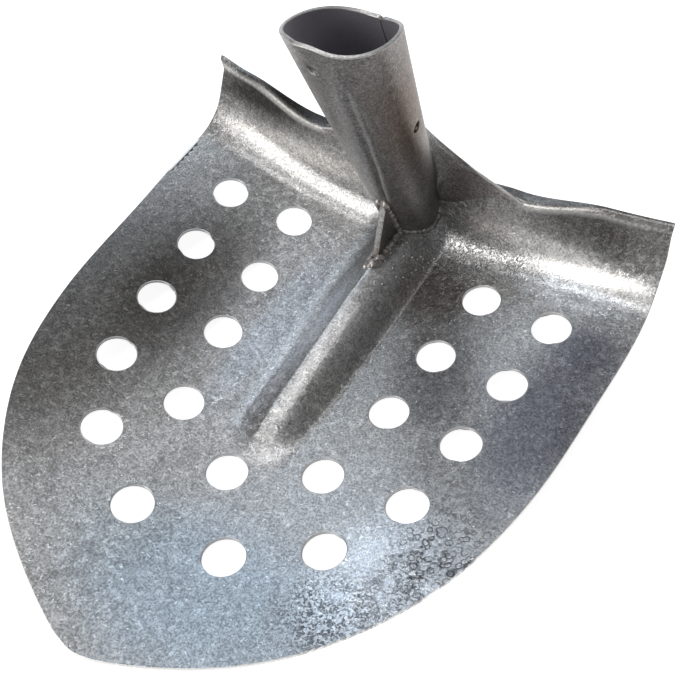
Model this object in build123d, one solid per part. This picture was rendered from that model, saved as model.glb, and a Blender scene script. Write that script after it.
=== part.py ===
from build123d import *
import math
import os

# Perforated digging and sifting head: a dished sheet blade with a raised ridge, sieve holes and a
# turned-up rear tread, a rolled tapered handle socket that leans over the blade, and a welded gusset.
# Millimetres. The blade frame has its origin at the centre hole, its tip towards -Y and the upper
# side towards +Z. Last of all the head is set down on the ground in the attitude in which it rests,
# with the origin on the ground at the centre of its footprint.

# --- sheet and dish -------------------------------------------------------
SHEET = 1.5                 # blade sheet thickness
CROSS_R = 241.0             # dish radius across the blade, at its middle
LONG_R = 776.0              # dish radius along the blade
EDGE_EASE = 10.632          # the dish flattens by this much at its side edges
REAR_EASE = 6.904           # and by this much more at the ends of the rear bend
TIP_Y = -94.5               # tip of the blade
HALF_W = 123.3              # half width at the tread
OVERRUN = 6.0               # sheet beyond the tip, before it is trimmed
PLAN_DOWN = 30.0            # the trimming plan reaches this far below the centre hole
PLAN_UP = 190.0             # and this far above it

# --- ridge ----------------------------------------------------------------
RIDGE_START = 10.5          # just behind the centre hole
RIDGE_RUN_IN = 11.0         # length of its blunt front end
RIDGE_H0 = 4.6              # height at the front
RIDGE_H1 = 14.5             # full height, near the socket
RIDGE_W0 = 19.0             # half width of its foot at the front
RIDGE_W1 = 22.0             # half width of its foot at the rear
RIDGE_FULL = 96.0           # where the full height is reached

# --- rear tread -----------------------------------------------------------
BEND_Y = 146.5              # the sheet starts to turn up here
BEND_R_MID = 14.5           # bend radius beside the socket
BEND_R_END = 26.0           # bend radius at the outer ends
WALL_ANGLE_MID = 86.0       # slope of the turned-up wall beside the socket
WALL_ANGLE_END = 70.0       # slope at the outer ends
CREST_Z = 59.8              # height at which the lip begins, at the outer ends
TREAD_DIP = 7.9             # it is this much lower where the foot goes
TREAD_OFF = 5.0             # the tread was pressed this far off centre, to the left
DIP_OUT = (56.0, 40.0)      # the dip runs out from here, over this width
HUMP_H = 10.0               # extra height of the wall behind the socket
HUMP_W = 54.0               # half width of that rise
LIP_ANGLE = 5.0             # the lip bends back to this slope
LIP_L = 4.6                 # its full straight width
LIP_IN = (27.0, 26.0)       # it starts to grow here, and is full after this width
LIP_MIN = 0.8               # its straight width elsewhere
CREASE_R = 2.4              # bend radius of the lip, mid sheet

# --- sieve holes: x, y of the right-hand ones -----------------------------
HOLE_D = 18.0
OUTER_ROW = [(88.2, 127.4), (83.9, 91.8), (80.3, 55.9), (74.9, 20.1), (56.4, -12.5), (23.0, -33.4)]
INNER_ROW = [(52.4, 131.4), (48.3, 94.6), (44.5, 58.9), (36.4, 18.1)]

# --- socket ---------------------------------------------------------------
LEAN = 26.5                 # the axis leans from the blade normal towards the tip
FOOT_Y = 154.57             # where the axis meets the foot of the socket
FOOT_Z = 35.31
SOCKET_L = 140.0            # along the axis, from there to the mouth centre
MOUTH_R = 20.6              # outer radius at the mouth
TAPER = 0.04                # radius lost per length going down
MOUTH_FALL = 12.7           # the mouth plane falls this many degrees to the rear
WALL = 1.6                  # socket sheet
SEAT_TOP = 24.0             # the stretch sized for the handle starts this far below the mouth centre
SEAT_L = 20.0
SEAT_WALL = 1.24            # sheet left round its lower end
SEAM_GAP = 0.9              # joint line of the rolled sheet, at the back
NAIL_D = 4.5
NAIL_FRONT = (-2.0, -92.0)  # distance below the mouth centre, angle round the axis
NAIL_SIDE = (58.5, 3.0)
TUBE_DOWN = 50.0            # taper beyond the foot, before it is trimmed against the blade
TUBE_UP = 25.0              # and above the mouth centre, before the slanting cut

# --- ears: flared triangles of the socket sheet along the tread -----------
EAR_TOP = (4.0, 148.5, 86.0)
EAR_OUT = (46.0, 161.0, 57.5)
EAR_LOW = (9.0, 160.0, 33.0)
EAR_SAG = 0.12              # hollow of the upper edge, as a part of the ear's depth
EAR_T = 1.8

# --- gusset: y, z of its free corners -------------------------------------
GUSSET_T = 3.2
GUSSET_FRONT = (120.6, 16.0)
GUSSET_TOP = (125.8, 58.5)
GUSSET_BACK = 152.0

# --- weld beads -----------------------------------------------------------
FOOT_BEAD_R = 3.4           # along the gusset foot
FOOT_BEAD_Y = 116.5         # it starts in front of the gusset
TOP_BEAD_R = 3.0            # between gusset and socket
TOP_BEAD_UP = 32.0          # its ends, measured up and down the axis from the foot
TOP_BEAD_DOWN = 10.0
RING_BEAD_R = 2.8           # round the front of the socket foot
RING_BEAD_START = 9.0       # degrees off the gusset
RING_BEAD_STEP = 8.0
RING_BEAD_UP = 40.0         # the search for the socket's meeting line starts this far up the axis

# --- resting attitude -----------------------------------------------------
REST_Y = 85.0               # the dish touches the ground at this station


def smooth(t):
    t = min(1.0, max(0.0, t))
    return t * t * (3.0 - 2.0 * t)


def dish(x, y):
    """Height of the plain dished sheet."""
    out = x / HALF_W
    ease = REAR_EASE * out**2 * y / BEND_Y + EDGE_EASE * out**4
    return x * x / (2 * CROSS_R) + y * y / (2 * LONG_R) - ease


def ridge(x, y):
    """Height of the pressed ridge above the dish."""
    along = min(1.0, max(0.0, (y - RIDGE_START) / (RIDGE_FULL - RIDGE_START)))
    height = RIDGE_H0 + (RIDGE_H1 - RIDGE_H0) * along
    height *= smooth((y - RIDGE_START) / RIDGE_RUN_IN)
    foot = RIDGE_W0 + (RIDGE_W1 - RIDGE_W0) * along
    if abs(x) >= foot:
        return 0.0
    return height * (0.5 + 0.5 * math.cos(math.pi * x / foot))


def floor_z(x, y):
    return dish(x, y) + ridge(x, y)


def turn(y, z, start, end, radius, steps):
    """Points of an arc in the Y-Z plane that turns from slope start to slope end."""
    pts = []
    for k in range(1, steps + 1):
        a = start + (end - start) * k / steps
        pts.append((y + radius * (math.sin(a) - math.sin(start)), z + radius * (math.cos(start) - math.cos(a))))
    return pts


def run(y, z, angle, length, steps):
    """Points of a straight in the Y-Z plane."""
    return [(y + math.cos(angle) * length * k / steps, z + math.sin(angle) * length * k / steps)
            for k in range(1, steps + 1)]


def profile(x):
    """Mid-sheet section of the blade at the distance x from the middle, from tip to lip."""
    out = min(1.0, abs(x) / HALF_W)**3
    first = TIP_Y - OVERRUN
    steps = 26
    floor = [first + (BEND_Y - first) * k / steps for k in range(steps + 1)]
    pts = [(y, floor_z(x, y)) for y in floor]
    start = math.atan(floor_z(x, BEND_Y) - floor_z(x, BEND_Y - 1.0))
    wall = math.radians(WALL_ANGLE_MID + (WALL_ANGLE_END - WALL_ANGLE_MID) * out)
    pts += turn(*pts[-1], start, wall, BEND_R_MID + (BEND_R_END - BEND_R_MID) * out, 7)
    off = abs(x + TREAD_OFF)
    dip = 1.0 - smooth((off - DIP_OUT[0]) / DIP_OUT[1])
    crest = CREST_Z - TREAD_DIP * dip + HUMP_H * (1.0 - smooth(abs(x) / HUMP_W))
    pts += run(*pts[-1], wall, (crest - pts[-1][1]) / math.sin(wall), 4)
    lip = dip * smooth((off - LIP_IN[0]) / LIP_IN[1])
    lean = math.radians(LIP_ANGLE)
    pts += turn(*pts[-1], wall, lean, -CREASE_R, 5)
    pts += run(*pts[-1], lean, LIP_MIN + (LIP_L - LIP_MIN) * lip, 2)
    return pts


def stations():
    """Section planes across the blade, closer together over the ridge."""
    half = [3.0 * k for k in range(9)] + [30.0 + 8.0 * k for k in range(13)]
    return [-x for x in reversed(half[1:])] + half


def spacing():
    """Shared spline parameters of all sections, which keep the lofted surface light."""
    steps = []
    for x in (0.0, HALF_W / 2, HALF_W):
        mid = profile(x)
        steps.append([math.dist(a, b) for a, b in zip(mid, mid[1:])])
    mean = [sum(parts) for parts in zip(*steps)]
    return [sum(mean[:k]) / sum(mean) for k in range(len(mean) + 1)]


def side_lean(x, k, step=0.5):
    """Sideways part of the sheet's normal at profile point k of the section at x."""
    mid = profile(x)
    y0, z0 = profile(x - step)[k]
    y1, z1 = profile(x + step)[k]
    ya, za = mid[max(0, k - 1)]
    yb, zb = mid[min(len(mid) - 1, k + 1)]
    across = Vector(2 * step, y1 - y0, z1 - z0)
    along = Vector(0, yb - ya, zb - za)
    return across.cross(along).normalized().X


def section(x):
    """Closed wire of the sheet cut by the plane at x, with the true thickness kept on slopes."""
    mid = profile(x)
    last = len(mid) - 1
    upper = []
    lower = []
    for k, (y, z) in enumerate(mid):
        ya, za = mid[max(0, k - 1)]
        yb, zb = mid[min(last, k + 1)]
        chord = math.hypot(yb - ya, zb - za)
        half = SHEET / 2 / math.sqrt(1.0 - side_lean(x, k)**2)
        dy, dz = -(zb - za) / chord * half, (yb - ya) / chord * half
        upper.append(Vector(x, y + dy, z + dz))
        lower.append(Vector(x, y - dy, z - dz))
    at = spacing()
    top = Edge.make_spline(upper, parameters=at)
    rear = Edge.make_line(upper[-1], lower[-1])
    under = Edge.make_spline(lower[::-1], parameters=[1.0 - a for a in reversed(at)])
    front = Edge.make_line(lower[0], upper[0])
    return Wire([top, rear, under, front])


def outline():
    """Plan of the blade: blunt tip, full sides, straight sheared rear ends."""
    side = [(0, TIP_Y), (19.7, -88.2), (39.9, -78.0), (65.8, -60.0), (84.3, -40.0), (100.1, -15.0),
            (111.3, 15.0), (118.1, 50.0), (121.4, 95.0), (HALF_W, 142.0), (119.0, 176.0)]
    with BuildSketch() as plan:
        with BuildLine():
            right = Spline(*side, tangents=[(1.0, 0.1), (-0.25, 1.0)])
            left = mirror(right, about=Plane.YZ)
            Line(right @ 1, left @ 1)
        make_face()
    return plan.sketch


def punch(x, y):
    """Sieve hole tool, square to the dish."""
    d = 0.5
    gx = (dish(x + d, y) - dish(x - d, y)) / (2 * d)
    gy = (dish(x, y + d) - dish(x, y - d)) / (2 * d)
    return Plane(origin=(x, y, dish(x, y)), z_dir=(-gx, -gy, 1.0)) * Cylinder(HOLE_D / 2, HOLE_D)


def biggest(shape):
    """The main solid of a trimmed shape."""
    return max(shape.solids(), key=lambda part: part.volume)


def make_blade():
    sheet = Solid.make_loft([section(x) for x in stations()])
    trimmed = sheet & Pos(0, 0, -PLAN_DOWN) * extrude(outline(), PLAN_DOWN + PLAN_UP)
    places = [(0.0, 0.0)] + OUTER_ROW + INNER_ROW + [(-x, y) for x, y in OUTER_ROW + INNER_ROW]
    return biggest(trimmed - [punch(x, y) for x, y in places])


def mouth_centre():
    lean = math.radians(LEAN)
    return Vector(0, FOOT_Y - SOCKET_L * math.sin(lean), FOOT_Z + SOCKET_L * math.cos(lean))


def axis_plane():
    """Work plane at the mouth centre, its Z up the socket axis and its Y to the rear."""
    lean = math.radians(LEAN)
    return Plane(origin=mouth_centre(), x_dir=(1, 0, 0), z_dir=(0, -math.sin(lean), math.cos(lean)))


def outer_r(depth):
    return MOUTH_R - TAPER * depth


def seat_r():
    """Inner radius of the stretch that takes the handle."""
    return outer_r(SEAT_TOP + SEAT_L) - SEAT_WALL


def taper(wall):
    """Solid taper of the socket, its radius less the given wall."""
    low = SOCKET_L + TUBE_DOWN
    body = Cone(outer_r(low) - wall, outer_r(-TUBE_UP) - wall, low + TUBE_UP,
                align=(Align.CENTER, Align.CENTER, Align.MIN))
    return axis_plane() * Pos(0, 0, -low) * body


def beside_axis(angle, depth):
    """Point on the outside of the socket, in blade coordinates."""
    a = math.radians(angle)
    return axis_plane().from_local_coords(
        Vector(outer_r(depth) * math.cos(a), outer_r(depth) * math.sin(a), -depth))


def ear(side):
    """Flared triangle of the socket sheet that runs out along the tread."""
    top, out, low = [Vector(side * x, y, z) for x, y, z in (EAR_TOP, EAR_OUT, EAR_LOW)]
    middle = (top + out) * 0.5
    edge = Edge.make_three_point_arc(top, middle + (low - middle) * EAR_SAG, out)
    face = Face(Wire([edge, Edge.make_line(out, low), Edge.make_line(low, top)]))
    return extrude(face, EAR_T / 2, dir=face.normal_at(), both=True)


def nail_hole(place):
    depth, angle = place
    tool = Cylinder(NAIL_D / 2, MOUTH_R * 1.5, align=(Align.CENTER, Align.CENTER, Align.MIN))
    return axis_plane() * Pos(0, 0, -depth) * Rot(Z=angle) * Rot(Y=90) * tool


def bore():
    """Inside of the socket: taper, sized stretch, taper."""
    seat = Cylinder(seat_r(), SEAT_L, align=(Align.CENTER, Align.CENTER, Align.MAX))
    above = Cylinder(2 * MOUTH_R, SEAT_TOP + 2 * TUBE_UP, align=(Align.CENTER, Align.CENTER, Align.MIN))
    below = Cylinder(2 * MOUTH_R, SOCKET_L + TUBE_DOWN, align=(Align.CENTER, Align.CENTER, Align.MAX))
    top = axis_plane() * Pos(0, 0, -SEAT_TOP)
    foot = top * Pos(0, 0, -SEAT_L)
    return [taper(WALL) & top * above, top * seat, taper(WALL) & foot * below]


def make_socket(blade):
    tube = taper(0) + [ear(-1), ear(1)] - bore()
    fall = math.radians(MOUTH_FALL)
    mouth = Plane(origin=mouth_centre(), x_dir=(1, 0, 0), z_dir=(0, math.sin(fall), math.cos(fall)))
    above = mouth * Box(6 * MOUTH_R, 6 * MOUTH_R, 2 * TUBE_UP, align=(Align.CENTER, Align.CENTER, Align.MIN))
    length = TUBE_UP + SOCKET_L + TUBE_DOWN
    seam = Box(SEAM_GAP, MOUTH_R * 2, length, align=(Align.CENTER, Align.MIN, Align.MAX))
    tube = tube - [above, axis_plane() * Pos(0, 0, TUBE_UP) * seam, nail_hole(NAIL_FRONT), nail_hole(NAIL_SIDE)]
    return biggest(tube - blade)


def make_gusset(blade):
    corners = [GUSSET_FRONT, GUSSET_TOP, (GUSSET_BACK, GUSSET_TOP[1]), (GUSSET_BACK, GUSSET_FRONT[1])]
    face = Face(Wire.make_polygon([Vector(0, y, z) for y, z in corners], close=True))
    plate = extrude(face, GUSSET_T / 2, dir=(1, 0, 0), both=True)
    return biggest(plate - [blade, taper(0)])


def bead(points, radius, *joined):
    """Round weld bead laid through the points and shaped by the pieces that it joins."""
    line = Polyline(*points) if len(points) == 2 else Spline(*points)
    body = sweep(Plane(origin=line @ 0, z_dir=line % 0) * Circle(radius), path=line)
    return biggest(body - list(joined))


def socket_foot(side):
    """Points where the outside of the socket meets the top of the ridge, to one side of the gusset."""
    pts = []
    for k in range(7):
        depth = SOCKET_L - RING_BEAD_UP
        angle = -90 + side * (RING_BEAD_START + RING_BEAD_STEP * k)
        p = beside_axis(angle, depth)
        while p.Z > floor_z(p.X, p.Y) + SHEET / 2 and p.Y <= BEND_Y + 1.0:
            depth += 0.25
            p = beside_axis(angle, depth)
        if p.Y > BEND_Y:
            break
        pts.append(p)
    return pts


def make_head():
    """All pieces in the blade frame."""
    blade = make_blade()
    socket = make_socket(blade)
    gusset = make_gusset(blade)
    foot = [Vector(0, y, floor_z(0, y) + SHEET / 2) for y in (FOOT_BEAD_Y, GUSSET_BACK)]
    weld_foot = bead(foot, FOOT_BEAD_R, blade, taper(0), gusset)
    rise = [beside_axis(-90, depth) for depth in (SOCKET_L - TOP_BEAD_UP, SOCKET_L + TOP_BEAD_DOWN)]
    weld_rise = bead(rise, TOP_BEAD_R, blade, taper(0), gusset, weld_foot)
    near = (blade, taper(0), gusset, weld_foot, weld_rise, socket)
    return {
        "blade": blade,
        "socket": socket,
        "gusset": gusset,
        "weld_gusset_foot": weld_foot,
        "weld_gusset_top": weld_rise,
        "weld_socket_left": bead(socket_foot(-1), RING_BEAD_R, *near),
        "weld_socket_right": bead(socket_foot(1), RING_BEAD_R, *near),
    }


def ground(pieces):
    """Placing of the blade frame that sets the head down on the ground over the origin."""
    tip_up = Rot(X=-math.degrees(math.atan(REST_Y / LONG_R)))
    boxes = [(tip_up * piece).bounding_box() for piece in pieces.values()]
    front = min(box.min.Y for box in boxes)
    rear = max(box.max.Y for box in boxes)
    return Pos(0, -(front + rear) / 2, -min(box.min.Z for box in boxes)) * tip_up


def main():
    pieces = make_head()
    place = ground(pieces)
    os.makedirs("parts", exist_ok=True)
    for name, piece in pieces.items():
        export_step(place * piece, f"parts/{name}.step")


if __name__ == "__main__":
    main()
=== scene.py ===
import math

import bpy
import bmesh
import numpy as np
from bpy.props import FloatProperty, FloatVectorProperty, IntProperty, PointerProperty
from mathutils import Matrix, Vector, geometry


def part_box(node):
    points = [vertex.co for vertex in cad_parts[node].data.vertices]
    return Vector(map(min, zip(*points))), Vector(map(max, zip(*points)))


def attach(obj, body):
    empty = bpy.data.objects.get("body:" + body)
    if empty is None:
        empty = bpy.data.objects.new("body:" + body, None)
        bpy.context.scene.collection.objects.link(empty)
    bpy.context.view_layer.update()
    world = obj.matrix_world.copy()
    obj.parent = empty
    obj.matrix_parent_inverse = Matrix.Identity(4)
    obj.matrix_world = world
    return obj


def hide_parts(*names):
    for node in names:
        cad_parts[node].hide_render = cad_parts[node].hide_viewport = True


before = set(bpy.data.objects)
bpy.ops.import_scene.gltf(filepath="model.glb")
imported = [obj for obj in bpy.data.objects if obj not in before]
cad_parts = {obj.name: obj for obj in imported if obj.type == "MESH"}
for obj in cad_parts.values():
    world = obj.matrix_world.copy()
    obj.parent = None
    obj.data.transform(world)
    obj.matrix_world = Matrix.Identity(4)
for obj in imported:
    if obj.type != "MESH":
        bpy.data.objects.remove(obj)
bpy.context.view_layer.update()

bl_info = {
    "name": "Sieve head",
    "version": (1, 0, 0),
    "blender": (4, 5, 0),
    "location": "View3D > Sidebar > Sieve head",
    "description": "Perforated steel digging head with a rolled handle socket, a gusset and weld beads",
    "category": "Object",
}

MM = 0.001

# Blade sheet, in millimetres, with the centre hole at the origin and the tip towards -Y.
SHEET = 1.5
HALF_W = 123.3
REST_Y = 85.0                   # the blade lies on the ground about here

# Dish: radii across and along, and how far its side edges drop away from them.
CROSS_R = 241.0
LONG_R = 776.0
EDGE_EASE = 10.632
REAR_EASE = 6.904

# Ridge: where it starts, how soon it rises, its crest line, heights and half widths.
RIDGE_START = 5.0
RIDGE_RUN_IN = 30.0
RIDGE_FULL = 96.0
RIDGE_CREST = 0.4
RIDGE_H = (4.6, 14.5)
RIDGE_W = (19.0, 22.0)
RIDGE_KNEE = 0.5                # share of the left half width at which the flank eases off
RIDGE_FLANK = 1.5               # steepness of the left flank above the knee
RIDGE_ROUND = 1.5               # fullness of the right shoulder

# Rear turn-up: bend and wall at the middle and at the ends, then the tread's top line.
BEND_Y = 146.5
BEND_R = (14.5, 26.0)
WALL_ANGLE = (86.0, 70.0)
CREST_Z = 59.8
TREAD_DIP = 7.9
TREAD_OFF = 5.0
DIP_OUT = (56.0, 40.0)          # distance from the middle and the run over which the dip ends
HUMP = (1.5, 54.0)
CREASE_R = 2.4
LIP_ANGLE = 5.0
LIP_L = 4.45
LIP_MIN = 0.8
LIP_IN = (27.0, 26.0)

# Curled left corner and tucked right end of the tread.
CURL_UP = 2.5
CURL_IN = 5.2
CURL_X = (108.0, 12.0)          # start and run, out from the middle
CURL_BACK = (9.0, 7.0)          # start and run, in from the rear edge
TUCK_IN = 1.3
TUCK_X = (95.0, 24.0)
SIDE_LIMIT = HALF_W - 0.6

# Slow waves of the sheet: share of the set depth, and how soon they calm at the rear and the sides.
WAVE_SHARE = 0.45
CALM_REAR = 20.0
CALM_SIDE = 15.0

OUTLINE = [(0, -94.4), (19.7, -88.2), (39.9, -78.0), (65.8, -60.0), (84.3, -40.0), (100.1, -15.0),
           (111.3, 15.0), (118.1, 50.0), (121.4, 95.0), (HALF_W, 142.0), (119.0, 176.0)]
OUTER_ROW = [(88.2, 127.4), (83.9, 91.8), (80.3, 55.9), (74.9, 20.1), (56.4, -12.5), (23.0, -33.4)]
INNER_ROW = [(52.4, 131.4), (48.3, 94.6), (44.5, 58.9), (36.4, 18.1)]
HOLES = [(0.0, 0.0)] + OUTER_ROW + INNER_ROW + [(-x, y) for x, y in OUTER_ROW + INNER_ROW]

# Lengths given to the stretches of the rear turn-up when the sheet is laid out flat.
FLAT_BEND = 28.0
FLAT_WALL = 30.0
FLAT_CREASE = 3.2
FLAT_LIP = 4.0
FLAT_REAR = BEND_Y + FLAT_BEND + FLAT_WALL + FLAT_CREASE + FLAT_LIP

# Socket, measured down its axis from the mouth centre and round it from the right-hand side.
LEAN = math.radians(26.5)
SOCKET_L = 140.0
FOOT_Y = 154.57
FOOT_Z = 35.31
MOUTH = np.array([0.0, FOOT_Y - SOCKET_L * math.sin(LEAN), FOOT_Z + SOCKET_L * math.cos(LEAN)])
MOUTH_R = 20.6
TAPER = 0.04
WALL = 1.6
SEAT_R = 17.6
SEAT = (24.0, 44.0)
SEAT_EASE = 12.0
SEAM_GAP = 0.12
SEAM_AT = 84.0
SEAM_NOTCH = (1.1, 2.5)         # depth, and half width in degrees
NAIL_R = 2.6
NAILS = [(-2.0, -92.0), (58.5, 3.0)]
AXIS_X = np.array([1.0, 0.0, 0.0])
AXIS_Y = np.array([0.0, math.cos(LEAN), math.sin(LEAN)])
AXIS_Z = np.array([0.0, -math.sin(LEAN), math.cos(LEAN)])

# Where the socket's foot is looked for: first and last depth, step, reach behind the tread.
FOOT_FROM = 100.0
FOOT_TO = 175.0
FOOT_STEP = 0.2
FOOT_BEHIND = 4.0

# Cut rim of the mouth: mean depth, then cosine and sine of one, two and three turns.
MOUTH_DEPTH = 0.04
MOUTH_WAVES = [(-2.91, 16.45), (-0.71, -0.38), (-0.72, -0.59)]
MOUTH_TOP = -16.2
MOUTH_OVAL = (1.93, -1.1, 0.75)
OVAL_FADE = (-17.0, 30.0)       # depth at which it starts to fade, and how soon it does

# Fold line down the left front: angles at depths; then its groove, bulge and the knocks at the rim.
FOLD_DEPTHS = [0.0, 29.0, 48.0, 72.5, 93.0, 130.0]
FOLD_ANGLES = [-62.0, -66.0, -67.0, -70.0, -76.0, -84.0]
FOLD_GROOVE = (-0.75, 0.0, 1.3)  # height, offset and width
FOLD_BULGE = (0.3, 2.6, 1.4)
FOLD_IN = (2.0, 24.0)
FOLD_OUT = (135.0, 16.0)
KNOCKS = [(0.9, -104.0, 10.0, -18.0, 3.0), (-0.45, -80.0, 14.0, -16.0, 6.0)]

# Flared ears: ends and middle control of their upper edge, and where they leave the tube.
EAR_T = 1.8
EAR_TOP = np.array([5.0, 149.0, 86.0])
EAR_MID = np.array([13.6, 160.7, 66.5])
EAR_REACH = (54.0, 15.0)
EAR_DEPTH = (78.0, 57.0)
EAR_ANGLE = (68.0, 46.0)
EAR_FOLD = 1.3
EAR_GRID = (34, 24)

# Gusset, weld runs and spatter: ends along the ridge and down the socket, angles round its foot.
GUSSET_LEAN = 1.3
GUSSET_LEAN_Z = (0.012, 0.032)  # start and run of the lean above the ground, in metres
GUSSET_SIDE = 6.5               # degrees from the front line to each side of the plate
TOP_RUN = (110.0, 146.0)
FOOT_RUN = (117.5, 140.0)
FOOT_FRONT = 118.4
FOOT_SIDE = 2.0
RING_FROM = 8.0
RING_STEP = 8.5
RING_COUNT = 12
SPATTER_AT = (9.0, 134.0)
SPATTER_REACH = (13.0, 15.0)
SPATTER_AREA = 0.0008           # in square metres

# Painted highlight on the tread's crease, and wear of the cut edges: share, width, and where it starts out
# from the middle.
CREASE_HIGHLIGHT = (0.75, 0.9)
CREASE_HIGHLIGHT_OUT = (48.0, 8.0)
HOLE_WEAR = 0.3
MOUTH_WEAR = (0.5, 5.0)         # share, and distance from the nail holes at which it starts

# Spacing of the mesh, in millimetres, and points round the holes.
ROW_DISH = 2.0
ROW_BEND = 1.5
ROW_WALL = 3.0
ROW_CREASE = 0.6
RIDGE_STRIP = (27.0, 1.35)      # half width of the finely meshed strip, and its step
REAR_REACH = 118.0
GAP_EDGE = 1.5
GAP_HOLE = 1.2
HOLE_POINTS = 60
REAR_STEP = 2.5
TUBE_POINTS = 120
TUBE_ROW = 1.8
TUBE_STEP = 1.0
TUBE_GAP = (1.4, 1.0, 1.3)      # from the seam, the cut ends and the nail holes
SEAM_POINTS = 46
NAIL_POINTS = 28

# Camera and lamps, in metres: place, size, colour.
CAMERA_AT = (0.155647, -0.16786, 0.360278)
CAMERA_TURN = (35.65897, 3.28428, 31.49917)
LENS = 50.53
SENSOR = 36.0
LAMP_AIM = (0.0, 0.0, 0.04)
LAMPS = {
    "key": ((-0.45, -0.80, 0.86), (0.5, 1.3), (1.0, 0.985, 0.96)),
    "top": ((-0.11, 0.27, 1.26), (0.85, 0.28), (1.0, 1.0, 1.0)),
    "rear": ((-0.78, 0.82, 0.82), (1.0, 0.7), (0.78, 0.89, 1.0)),
}
FLOOR_SIDE = 4.0
FLOOR_Z = -0.0004
FLOOR_GLOW = 0.85

# Steel tones shared by the finishes.
WHITE = (1.0, 1.0, 1.0, 1.0)
# Lighter tone for worn cut edges, and for the painted highlights on the tread's crease and the ears' top
# edges.
WEAR_AND_HIGHLIGHT_TONE = (0.80, 0.79, 0.77, 1.0)
ETCHED_LINE = (0.22, 0.225, 0.235, 1.0)
ETCHED_FACE = (0.62, 0.63, 0.64, 1.0)

# Fields of painted highlight, sheen and shade on the blade: centre and reach in millimetres, tone, strength.
# Lighter fields paint the ridge crest and rear bend highlights and a bluish sheen; darker ones paint shade
# on walls and wings.
BLADE_PAINTED_LIGHT_AND_SHADE = [
    ((16, 96, 9), (7, 50, 14), (0.62, 0.61, 0.60, 1.0), 0.8),
    ((-8, 72, 9), (10, 60, 14), (2.0, 2.04, 2.14, 1.0), 1.0),
    ((4, 88, 15), (8, 74, 10), (1.8, 1.8, 1.8, 1.0), 1.0),
    ((28, 128, 13), (24, 26, 20), (0.66, 0.60, 0.57, 1.0), 0.8),
    ((88, 147, 24), (46, 11, 14), (1.60, 1.69, 1.80, 1.0), 0.9),
    ((108, 122, 24), (24, 18, 20), (0.60, 0.61, 0.66, 1.0), 0.9),
    ((106, 82, 20), (34, 70, 32), (0.40, 0.40, 0.44, 1.0), 1.0),
    ((55, 82, 10), (34, 34, 24), (0.66, 0.65, 0.66, 1.0), 0.8),
    ((-104, 30, 16), (78, 150, 70), (0.33, 0.318, 0.306, 1.0), 1.0),
    ((-74, 72, 8), (40, 76, 30), (0.42, 0.405, 0.39, 1.0), 1.0),
    ((-27, 72, 2), (15, 76, 20), (1.20, 1.28, 1.40, 1.0), 0.9),
    ((85, -14, 14), (46, 46, 24), (1.85, 1.96, 2.1, 1.0), 0.9),
    ((20, -50, 6), (90, 50, 30), (0.90, 1.03, 1.15, 1.0), 0.9),
    ((-62, 161, 35), (66, 7, 10), (1.6, 1.59, 1.55, 1.0), 1.0),
    ((78, 160, 33), (60, 10, 11), (2.3, 2.28, 2.24, 1.0), 1.0),
    ((-80, 167, 54), (85, 14, 20), (0.09, 0.085, 0.082, 1.0), 1.0),
    ((78, 167, 54), (72, 14, 20), (0.42, 0.405, 0.395, 1.0), 1.0),
]
# Fields of painted shade on the socket's right side, by its right ear and at its foot, the first also tinted
# brown: centre and reach in millimetres, tone, strength.
SOCKET_PAINTED_SHADE = [
    ((24, 112, 112), (18, 70, 80), (0.50, 0.39, 0.32, 1.0), 1.0),
    ((26, 154, 52), (26, 20, 26), (0.62, 0.60, 0.59, 1.0), 0.8),
    ((2, 138, 42), (24, 20, 22), (0.78, 0.74, 0.70, 1.0), 0.7),
]
# Fields on the gusset, a darker brownish one of painted shade on its right face and a narrow upright painted
# highlight: centre and reach in millimetres, tone, strength.
GUSSET_PAINTED_LIGHT_AND_SHADE = [
    ((4, 132, 28), (5, 20, 24), (0.55, 0.50, 0.47, 1.0), 0.8),
    ((0, 120, 36), (5, 4, 30), (1.9, 1.85, 1.8, 1.0), 0.9),
]
# Painted highlight on the weld at the front of the gusset's foot: centre and reach in millimetres, tone,
# strength.
WELD_PAINTED_HIGHLIGHT = [((0, 119, 18), (7, 7, 8), (2.4, 2.4, 2.4, 1.0), 0.9)]

# Etched patches of the blade: kind, centre and reach in millimetres, fineness, strength.
BLADE_ETCHING = [
    ("cells", (97, 3, 15), (28, 34, 30), 330.0, 0.9),
    ("cells", (103, -4, 16), (18, 26, 24), 160.0, 0.8),
    ("pits", (74, -36, 11), (34, 28, 24), 820.0, 0.9),
    ("pits", (90, -14, 13), (20, 28, 24), 700.0, 0.7),
    ("lines", (40, 152, 22), (46, 18, 26), 420.0, 0.8),
]


# --- shape rules --------------------------------------------------------------

def smooth(t):
    """Eased step from 0 to 1."""
    t = np.clip(t, 0.0, 1.0)
    return t * t * (3.0 - 2.0 * t)


def bell(x, middle, width):
    """Bell curve of height 1."""
    return np.exp(-((x - middle) / width)**2)


def between(ends, share):
    """Value that lies a share of the way between two ends."""
    return ends[0] + (ends[1] - ends[0]) * share


def floor_z(x, y):
    """Middle of the sheet in front of the rear bend: dish plus ridge."""
    out = x / HALF_W
    dish = x * x / (2 * CROSS_R) + y * y / (2 * LONG_R)
    dish = dish - REAR_EASE * out**2 * y / BEND_Y - EDGE_EASE * out**4
    along = np.clip((y - RIDGE_START) / (RIDGE_FULL - RIDGE_START), 0.0, 1.0)
    height = between(RIDGE_H, along) * smooth((y - RIDGE_START) / RIDGE_RUN_IN)
    s = (x - RIDGE_CREST) / between(RIDGE_W, along)
    a = np.clip(np.abs(s), 0.0, 1.0)
    left = np.where(a < RIDGE_KNEE, 1.0 - RIDGE_FLANK * a, (1.0 - a)**2)
    right = 0.5 + 0.5 * np.cos(np.pi * a**RIDGE_ROUND)
    return dish + height * np.where(s < 0.0, left, right)


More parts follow.
